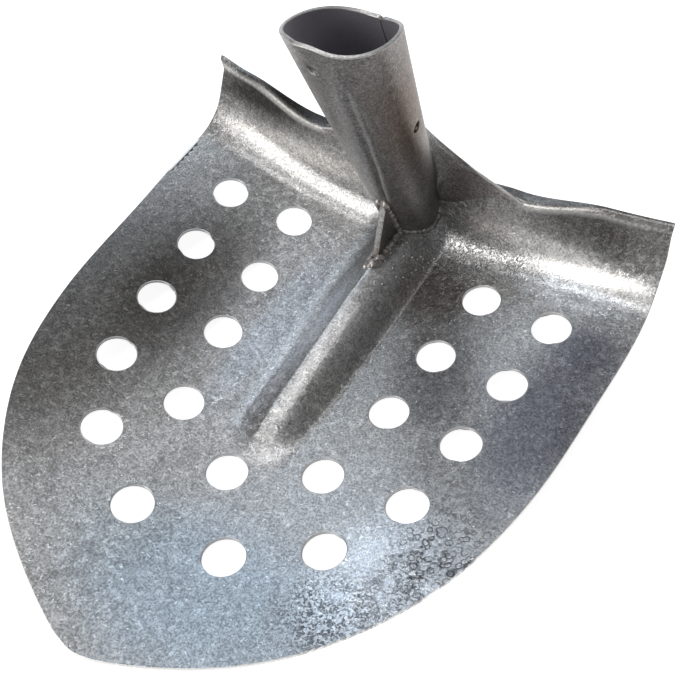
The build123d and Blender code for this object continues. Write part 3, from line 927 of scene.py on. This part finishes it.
class SIEVE_OT_blade(bpy.types.Operator):
    """Dished blade with its ridge, rear tread, rolled lip and sieve openings"""
    bl_idname = "sieve.blade"
    bl_label = "Blade"

    def execute(self, context):
        scene = context.scene
        blade = scene.sieve_blade
        edge = blade.edge / MM
        side = spline(OUTLINE, (1.0, 0.1), (-0.25, 1.0), 2.0)
        outer = self.outer_loop(side, edge)
        radius = blade.hole_d / 2 / MM
        holes = [self.hole_loop(x, y, radius + edge) for x, y in HOLES]
        filling = self.filling(side, radius, blade.grid / MM)
        flat, faces, loops = triangulate(outer, holes, filling)
        depth = blade.waves / MM

        def rule(u, v):
            return sheet_middle(u, v, edge, depth)

        # Painted highlight: a lighter line along the tread's crease, out from the middle.
        def worn(u, v):
            crease = FLAT_REAR - FLAT_LIP - FLAT_CREASE * 0.9
            start, run = CREASE_HIGHLIGHT_OUT
            return CREASE_HIGHLIGHT[0] * bell(v, crease, CREASE_HIGHLIGHT[1]) * smooth((np.abs(u) - start) / run)

        obj = sheet_object("sieve_blade", thick_sheet(flat, faces, loops, rule, SHEET / 2, edge, worn=worn))
        finished(obj, "blade_steel", blade_steel(scene.sieve_finish), "blade")
        return {"FINISHED"}

    def outer_loop(self, side, edge):
        """Outline of the laid-out sheet, drawn in by the edge rounding."""
        way = np.gradient(side, axis=0)
        inward = np.stack([-way[:, 1], way[:, 0]], -1)
        drawn = side + inward / np.linalg.norm(inward, axis=1, keepdims=True) * edge
        right = [tuple(p) for p in drawn if p[1] < BEND_Y and p[0] > 0.2]
        for t in np.linspace(BEND_Y, FLAT_REAR, 26):
            x = HALF_W - 2.0
            for _ in range(3):
                x = np.interp(sheet_middle(x, t)[1], drawn[:, 1], drawn[:, 0])
            right.append((float(x), float(t)))
        count = int(2 * right[-1][0] / REAR_STEP)
        rear = [(float(x), FLAT_REAR) for x in np.linspace(right[-1][0], -right[-1][0], count)[1:-1]]
        left = [(-x, y) for x, y in reversed(right)]
        return np.array([(0.0, OUTLINE[0][1] + edge)] + right + rear + left)

    def hole_loop(self, x, y, radius):
        """Opening square to the dish, in laid-out coordinates."""
        c = sheet_middle(x, y)
        n = normal_of(sheet_middle, np.float64(x), np.float64(y), 0.5)
        e = np.cross([0.0, 1.0, 0.0], n)
        e /= np.linalg.norm(e)
        f = np.cross(n, e)
        a = np.linspace(0.0, 2 * math.pi, HOLE_POINTS, endpoint=False)[:, None]
        p = c + radius * (np.cos(a) * e + np.sin(a) * f)
        gap = (floor_z(p[:, 0], p[:, 1]) - p[:, 2]) * n[2]
        return (p + gap[:, None] * n)[:, :2]

    def filling(self, side, radius, grid):
        """Points inside the outline: fine along the ridge and the bends, wider on the plain dish."""
        wall, crease = BEND_Y + FLAT_BEND, FLAT_REAR - FLAT_LIP - FLAT_CREASE
        dish = np.arange(-93.0, BEND_Y, ROW_DISH)
        rear = [np.arange(BEND_Y, wall, ROW_BEND), np.arange(wall, crease, ROW_WALL),
                np.arange(crease, FLAT_REAR - ROW_CREASE / 2, ROW_CREASE)]
        strip, step = RIDGE_STRIP
        low = side[side[:, 1] < BEND_Y]
        points = []
        for number, t in enumerate(np.concatenate([dish] + rear)):
            reach = REAR_REACH
            if number < len(dish):
                reach = min(np.interp((t, t - 1.6), low[:, 1], low[:, 0])) - GAP_EDGE
            wide = np.arange(strip + grid * (0.5 if number % 2 else 0.0), HALF_W, grid)
            x = np.concatenate([np.arange(0.0, strip, step), wide])
            x = x[x < reach]
            x = np.concatenate([-x[::-1], x[1:]])
            points.append(np.stack([x, np.full_like(x, t)], -1))
        points = np.vstack(points)
        keep = np.ones(len(points), bool)
        for hx, hy in HOLES:
            keep &= np.hypot(points[:, 0] - hx, points[:, 1] - hy) > radius + GAP_HOLE
        return points[keep]


class SIEVE_OT_hole_rims(bpy.types.Operator):
    """Rolled rims that the punch left on both faces of each sieve hole"""
    bl_idname = "sieve.hole_rims"
    bl_label = "Hole rims"

    def execute(self, context):
        blade = context.scene.sieve_blade
        xy = np.array(HOLES)
        n = normal_of(sheet_middle, xy[:, 0], xy[:, 1], 0.5)
        mesh = bpy.data.meshes.new("hole_centres")
        mesh.from_pydata(settle(sheet_middle(xy[:, 0], xy[:, 1])).tolist(), [], [])
        axis = mesh.attributes.new("punch_axis", "FLOAT_VECTOR", "POINT")
        axis.data.foreach_set("vector", tilted(n).ravel())
        obj = bpy.data.objects.new("hole_centres", mesh)
        context.scene.collection.objects.link(obj)
        steel = bpy.data.materials["blade_steel"]
        face = SHEET / 2 * MM
        values = {"Hole radius": blade.hole_d / 2 + blade.rim * 0.55, "Rim radius": blade.rim,
                  "Face distance": face - blade.rim * 0.75, "Material": steel}
        use_tree(obj, self.tree(), values)
        finished(baked(obj, "sieve_hole_rims"), "blade_steel", steel)
        return {"FINISHED"}

    def tree(self):
        """Geometry tree that lays a rim on both faces of the sheet at each hole centre."""
        tree, given = open_tree("hole_rims", ("Hole radius", "Rim radius", "Face distance"))
        circles = []
        for key, count in (("Hole radius", 72), ("Rim radius", 10)):
            values = {"Resolution": count, "Radius": given[key]}
            circles.append(node(tree, "GeometryNodeCurvePrimitiveCircle", values).outputs[0])
        curves = {"Curve": circles[0], "Profile Curve": circles[1]}
        loop = node(tree, "GeometryNodeCurveToMesh", curves).outputs[0]
        both = node(tree, "GeometryNodeJoinGeometry")
        for sign in (1.0, -1.0):
            lift = calc(tree, "MULTIPLY", given["Face distance"], sign)
            shift = node(tree, "ShaderNodeCombineXYZ", {"Z": lift}).outputs[0]
            moved = node(tree, "GeometryNodeTransform", {"Geometry": loop, "Translation": shift})
            tree.links.new(moved.outputs[0], both.inputs[0])
        axis = node(tree, "GeometryNodeInputNamedAttribute", {"Name": "punch_axis"},
                    data_type="FLOAT_VECTOR")
        turned = node(tree, "FunctionNodeAlignRotationToVector", {"Vector": axis.outputs[0]}, axis="Z")
        many = node(tree, "GeometryNodeInstanceOnPoints", {
            "Points": given["Geometry"], "Instance": both.outputs[0], "Rotation": turned.outputs[0]})
        return close_tree(tree, many.outputs[0], given["Material"])


class SIEVE_OT_socket(bpy.types.Operator):
    """Rolled, tapered handle socket with its seam, nail holes and flared ears"""
    bl_idname = "sieve.socket"
    bl_label = "Handle socket"

    def execute(self, context):
        scene = context.scene
        socket = scene.sieve_socket
        edge = socket.edge / MM
        tube = self.tube(edge, socket.dents)
        ears = [self.ear(side, edge) for side in (-1, 1)]
        obj = sheet_object("handle_socket", tube, *ears)
        finish = scene.sieve_finish
        steel = mill_steel("socket_steel", finish.tube, finish.tube_dark, finish.fleck,
                           rough=0.42, painted_light_and_shade=SOCKET_PAINTED_SHADE, flecks=0.2)
        darken_inside(steel, finish.inner_tone)
        finished(obj, "socket_steel", steel[0], "socket")
        return {"FINISHED"}

    def tube(self, edge, dents):
        """Rolled sheet from the mouth to where it runs into the blade, open at its seam."""
        gap = SEAM_GAP / 2 + edge
        half_turn = math.pi * MOUTH_R
        turned = math.radians(SEAM_AT - 90.0) * MOUTH_R
        w = np.linspace(-half_turn + gap, half_turn - gap, TUBE_POINTS) + turned
        angle = -90.0 + np.degrees(w / MOUTH_R)
        mouth = mouth_edge(angle) + edge
        foot = np.array([socket_foot(a) for a in angle])
        seam = np.linspace(foot[-1], mouth[-1], SEAM_POINTS)[1:-1]
        outer = [(a, -b) for a, b in zip(w, mouth)][::-1]
        outer += [(w[0], -d) for d in seam[::-1]]
        outer += [(a, -b) for a, b in zip(w, foot)]
        outer += [(w[-1], -d) for d in seam]
        nails = []
        for d, a in NAILS:
            loop = ring(NAIL_R + edge * 0.6, NAIL_POINTS)
            loop[:, 0] *= MOUTH_R / outer_r(d)
            nails.append(loop + np.array([math.radians(a + 90.0) * MOUTH_R, -d]))
        points = []
        from_seam, from_end, from_nail = TUBE_GAP
        for number, d in enumerate(np.arange(-16.0, 170.0, TUBE_ROW)):
            x = np.arange(w[0] + from_seam + 0.5 * (number % 2), w[-1] - from_seam, TUBE_STEP)
            ok = (d > np.interp(x, w, mouth) + from_end) & (d < np.interp(x, w, foot) - from_end)
            points.append(np.stack([x[ok], np.full(ok.sum(), -d)], -1))
        points = np.vstack(points)
        for loop in nails:
            points = points[np.linalg.norm(points - loop.mean(0), axis=1) > NAIL_R + from_nail]
        flat, faces, loops = triangulate(np.array(outer), nails, points)

        def rule(u, v):
            return socket_middle(u, -v, dents)

        # Wear: lighter cut edges, fading out near the nail holes.
        def edge_wear_and_highlight(u, v):
            near = [np.hypot(u - loop[:, 0].mean(), v - loop[:, 1].mean()) for loop in nails]
            return MOUTH_WEAR[0] * smooth(np.min(near, axis=0) - MOUTH_WEAR[1])

        half = 0.5 * (outer_r(-flat[:, 1]) - inner_r(-flat[:, 1]))
        return thick_sheet(flat, faces, loops, rule, half, edge, rim=edge_wear_and_highlight)

    def ear(self, side, edge):
        """Flared web of the socket sheet that sweeps out and merges with the tread wall."""
        count, rows = EAR_GRID
        u, v = np.meshgrid(np.linspace(0.0, 1.0, count), np.linspace(0.0, 1.0, rows))
        flat = np.stack([u.ravel() * side, -v.ravel()], -1)
        tris = []
        for i in range(rows - 1):
            for j in range(count - 1):
                a = i * count + j
                tris += [(a, a + 1, a + count + 1), (a, a + count + 1, a + count)]
        tris = np.array(tris)
        if side > 0:
            tris = tris[:, ::-1]
        ids = np.arange(count * rows).reshape(rows, count)
        rim = list(ids[0]) + list(ids[1:, -1]) + list(ids[-1, -2::-1]) + list(ids[-2:0:-1, 0])
        crease = BEND_Y + FLAT_BEND + FLAT_WALL + FLAT_CREASE * 0.5
        out = sheet_middle(EAR_REACH[0], crease) - np.array([0.0, 0.6, 0.0])

        def rule(p, q):
            """Point p of the way from the tube to the wall and q of the way down the ear."""
            p, q = np.broadcast_arrays(np.asarray(p, float) * side, -np.asarray(q, float))
            top = np.exp(-(q * 9.0)**2)[..., None]     # pull of the upper edge's own ends
            depth = EAR_DEPTH[0] + EAR_DEPTH[1] * q
            angle = EAR_ANGLE[0] - EAR_ANGLE[1] * smooth(1.15 * q)
            start = off_axis(outer_r(depth) - EAR_T / 2, depth, angle)
            start = start + (EAR_TOP - start) * top
            x = between(EAR_REACH, np.maximum(q, 0.0)**0.7)
            along = crease - (FLAT_WALL * 0.62 + FLAT_CREASE * 0.5) * q
            end = sheet_middle(x, along) + np.array([0.0, 0.3, 0.0])
            end = end + (out - end) * top
            wall = sheet_middle(x * 0.42 + 5.0 * q, along)
            middle = np.stack([x * 0.25 + 10.0 * q, wall[..., 1] - 0.8, end[..., 2] + 11.0 * (1.0 - q)], -1)
            middle = middle + (EAR_MID - middle) * np.exp(-(q * 3.0)**2)[..., None]
            s = p[..., None]
            place = (1 - s)**2 * start + 2 * s * (1 - s) * middle + s * s * end
            fold = EAR_FOLD * bell(p, 0.66 - 0.5 * q, 0.06) * smooth(q * 4.0) * smooth((1.0 - q) * 6.0)
            place = place + fold[..., None] * np.array([0.0, -0.8, 0.6])
            return place * np.array([side, 1.0, 1.0])

        # Painted highlight on the rounded top edge of the ear.
        def edge_wear_and_highlight(p, q):
            return smooth((q + 0.06) / 0.04)

        # Painted highlight on the ear's face along its top edge.
        def ear_top_highlight(p, q):
            return 0.9 * smooth((q + 0.05) / 0.03)

        return thick_sheet(flat, tris, [rim], rule, EAR_T / 2, edge, worn=ear_top_highlight, rim=edge_wear_and_highlight)


class SIEVE_OT_gusset(bpy.types.Operator):
    """Gusset plate between the ridge and the front of the socket"""
    bl_idname = "sieve.gusset"
    bl_label = "Gusset"

    def execute(self, context):
        scene = context.scene
        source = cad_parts["gusset"]
        obj = bpy.data.objects.new("gusset_plate", source.data.copy())
        scene.collection.objects.link(obj)
        sheet = bmesh.new()
        sheet.from_mesh(obj.data)
        bmesh.ops.remove_doubles(sheet, verts=sheet.verts, dist=0.00002)
        bmesh.ops.dissolve_limit(sheet, angle_limit=math.radians(4.0), verts=sheet.verts, edges=sheet.edges)
        sheet.to_mesh(obj.data)
        sheet.free()
        start, run = GUSSET_LEAN_Z
        for vertex in obj.data.vertices:
            vertex.co.x += GUSSET_LEAN * MM * min(1.0, max(0.0, (vertex.co.z - start) / run))
        obj.data.polygons.foreach_set("use_smooth", [True] * len(obj.data.polygons))
        bevel = obj.modifiers.new("worn_edges", "BEVEL")
        bevel.width = scene.sieve_socket.round_gusset
        bevel.segments = 3
        bevel.angle_limit = math.radians(30.0)
        bevel.harden_normals = True
        plate = baked(obj, "gusset_plate")
        finish = scene.sieve_finish
        steel = mill_steel("gusset_steel", finish.tube, finish.tube_dark, finish.fleck,
                           rough=0.4, painted_light_and_shade=GUSSET_PAINTED_LIGHT_AND_SHADE, flecks=0.25)
        finished(plate, "gusset_steel", steel[0], "gusset")
        return {"FINISHED"}


def random_box(tree, seed, low, high):
    """Random vector with each part between low and high."""
    made = node(tree, "FunctionNodeRandomValue", {"Seed": seed}, data_type="FLOAT_VECTOR")
    made.inputs[0].default_value = (low,) * 3
    made.inputs[1].default_value = (high,) * 3
    return made.outputs[0]


def bead_tree():
    """Geometry tree that lays overlapping ripples along a path."""
    tree, given = open_tree("weld_bead", ("Bead radius", "Ripple pitch"), ("Seed",))
    path = node(tree, "GeometryNodeMeshToCurve", {0: given["Geometry"]})
    along = {"Curve": path.outputs[0], "Length": given["Ripple pitch"]}
    steps = node(tree, "GeometryNodeCurveToPoints", along, mode="LENGTH").outputs
    ball = {"Segments": 18, "Rings": 12, "Radius": given["Bead radius"]}
    drop = node(tree, "GeometryNodeMeshUVSphere", ball)
    size = random_box(tree, given["Seed"], 0.84, 1.08)
    drops = node(tree, "GeometryNodeInstanceOnPoints", {
        "Points": steps["Points"], "Instance": drop.outputs[0],
        "Rotation": steps["Rotation"], "Scale": size})
    wander = random_box(tree, given["Seed"], -0.00022, 0.00022)
    moved = node(tree, "GeometryNodeTranslateInstances", {
        0: drops.outputs[0], "Translation": wander, "Local Space": False})
    return close_tree(tree, moved.outputs[0], given["Material"])


def lay_bead(name, runs, values, tree):
    """Weld bead made along one or more runs of points, given in millimetres."""
    verts, edges = [], []
    for run in runs:
        at = len(verts)
        verts += settle(np.array(run)).tolist()
        edges += [(at + k, at + k + 1) for k in range(len(run) - 1)]
    mesh = bpy.data.meshes.new(name)
    mesh.from_pydata(verts, edges, [])
    obj = bpy.data.objects.new(name + "_path", mesh)
    bpy.context.scene.collection.objects.link(obj)
    use_tree(obj, tree, values)
    return baked(obj, name)


class SIEVE_OT_welds(bpy.types.Operator):
    """Rippled weld beads at the gusset and the foot of the socket"""
    bl_idname = "sieve.welds"
    bl_label = "Weld beads"

    def execute(self, context):
        scene = context.scene
        weld = scene.sieve_weld
        finish = scene.sieve_finish
        steel = mill_steel("weld_metal", finish.bead, finish.tube_dark, finish.fleck,
                           rough=0.36, painted_light_and_shade=WELD_PAINTED_HIGHLIGHT, flecks=0.3)[0]
        tree = bead_tree()
        ring_left, ring_right = (self.round_foot(side) for side in (-1, 1))
        beads = (("weld_gusset_foot", self.gusset_foot(), 1.0), ("weld_gusset_top", self.gusset_top(), 0.8),
                 ("weld_socket_left", ring_left, 0.75), ("weld_socket_right", ring_right, 0.75))
        for number, (name, runs, share) in enumerate(beads):
            values = {"Bead radius": weld.radius * share, "Ripple pitch": weld.pitch,
                      "Seed": weld.seed + number, "Material": steel}
            finished(lay_bead(name + "_bead", runs, values, tree), "weld_metal", steel, name)
        return {"FINISHED"}

    def gusset_foot(self):
        """A run along each side of the plate's foot, and one across its front."""
        top = SHEET / 2
        runs = [[(x, y, float(floor_z(x, y)) + top - 0.5) for y in np.linspace(*FOOT_RUN, 16)]
                for x in (-FOOT_SIDE, FOOT_SIDE)]
        front = [(x, FOOT_FRONT - 0.25 * (1.9 - abs(x)), float(floor_z(x, FOOT_FRONT)) + top - 0.2)
                 for x in (-1.9, -0.8, 0.8, 1.9)]
        return runs + [front]

    def gusset_top(self):
        """A run up each side of the plate where it meets the socket."""
        return [[tuple(off_axis(outer_r(d) + 0.2, d, np.float64(-90.0 + side * GUSSET_SIDE)))
                 for d in np.linspace(*TOP_RUN, 20)] for side in (-1, 1)]

    def round_foot(self, side):
        """A run round one side of the socket's foot, sunk into the corner."""
        run = []
        for k in range(RING_COUNT):
            angle = np.float64(-90.0 + side * (RING_FROM + RING_STEP * k))
            d = socket_foot(angle)
            run.append(tuple(off_axis(outer_r(d) - 0.7, np.float64(d - 0.5), angle)))
        return [run]


class SIEVE_OT_spatter(bpy.types.Operator):
    """Small beads of weld spatter strewn beside the gusset"""
    bl_idname = "sieve.spatter"
    bl_label = "Weld spatter"

    def execute(self, context):
        scene = context.scene
        weld = scene.sieve_weld
        across, along = 31, 28
        x, t = np.meshgrid(np.linspace(-26.0, 34.0, across), np.linspace(112.0, 166.0, along))
        mid = sheet_middle(x, t)
        top = mid + normal_of(sheet_middle, x, t) * (SHEET / 2)
        near = np.hypot((x - SPATTER_AT[0]) / SPATTER_REACH[0], (t - SPATTER_AT[1]) / SPATTER_REACH[1])
        corners = [i * across + j for i in range(along - 1) for j in range(across - 1)]
        faces = [(a, a + 1, a + across + 1, a + across) for a in corners]
        ground = plain_mesh("spatter_ground", settle(top).reshape(-1, 3), faces)
        amount = ground.data.attributes.new("density", "FLOAT", "POINT")
        amount.data.foreach_set("value", np.exp(-near**2).ravel().astype(np.float32))
        steel = bpy.data.materials["weld_metal"]
        values = {"Count per area": weld.spatter / SPATTER_AREA, "Seed": weld.seed, "Material": steel}
        use_tree(ground, self.tree(), values)
        finished(baked(ground, "weld_spatter"), "weld_metal", steel)
        return {"FINISHED"}

    def tree(self):
        """Geometry tree that strews small beads where the ground is marked for them."""
        tree, given = open_tree("spatter", ("Count per area",), ("Seed",))
        amount = node(tree, "GeometryNodeInputNamedAttribute", {"Name": "density"}, data_type="FLOAT")
        dense = calc(tree, "MULTIPLY", amount.outputs[0], given["Count per area"])
        strewn = node(tree, "GeometryNodeDistributePointsOnFaces", {
            "Mesh": given["Geometry"], "Density": dense, "Seed": given["Seed"]})
        drop = node(tree, "GeometryNodeMeshIcoSphere", {"Radius": 0.0005, "Subdivisions": 2})
        size = node(tree, "FunctionNodeRandomValue", {"Seed": given["Seed"]}, data_type="FLOAT")
        size.inputs[2].default_value = 0.5
        size.inputs[3].default_value = 1.7
        many = node(tree, "GeometryNodeInstanceOnPoints", {
            "Points": strewn.outputs[0], "Instance": drop.outputs[0], "Scale": size.outputs[1]})
        return close_tree(tree, many.outputs[0], given["Material"])


# --- panel and running --------------------------------------------------------

class SIEVE_PT_panel(bpy.types.Panel):
    """Sizes, colours and steps of the sieve head"""
    bl_label = "Sieve head"
    bl_idname = "SIEVE_PT_panel"
    bl_space_type = "VIEW_3D"
    bl_region_type = "UI"
    bl_category = "Sieve head"

    def draw(self, context):
        scene = context.scene
        for name in GROUPS:
            group = getattr(scene, name)
            box = self.layout.box()
            for key in group.__annotations__:
                box.prop(group, key)
        for step in STEPS:
            self.layout.operator(step.bl_idname)


GROUPS = {"sieve_stage": StageSettings, "sieve_blade": BladeSettings, "sieve_socket": SocketSettings,
          "sieve_weld": WeldSettings, "sieve_finish": FinishSettings}
STEPS = (SIEVE_OT_stage, SIEVE_OT_blade, SIEVE_OT_hole_rims, SIEVE_OT_socket, SIEVE_OT_gusset,
         SIEVE_OT_welds, SIEVE_OT_spatter)


def register():
    for group in GROUPS.values():
        bpy.utils.register_class(group)
    for step in STEPS + (SIEVE_PT_panel,):
        bpy.utils.register_class(step)
    for name, group in GROUPS.items():
        setattr(bpy.types.Scene, name, PointerProperty(type=group))


def unregister():
    for name in GROUPS:
        delattr(bpy.types.Scene, name)
    for made in reversed(tuple(GROUPS.values()) + STEPS + (SIEVE_PT_panel,)):
        bpy.utils.unregister_class(made)


def main():
    register()
    for step in STEPS:
        group, name = step.bl_idname.split(".")
        getattr(getattr(bpy.ops, group), name)()


if __name__ == "__main__":
    main()
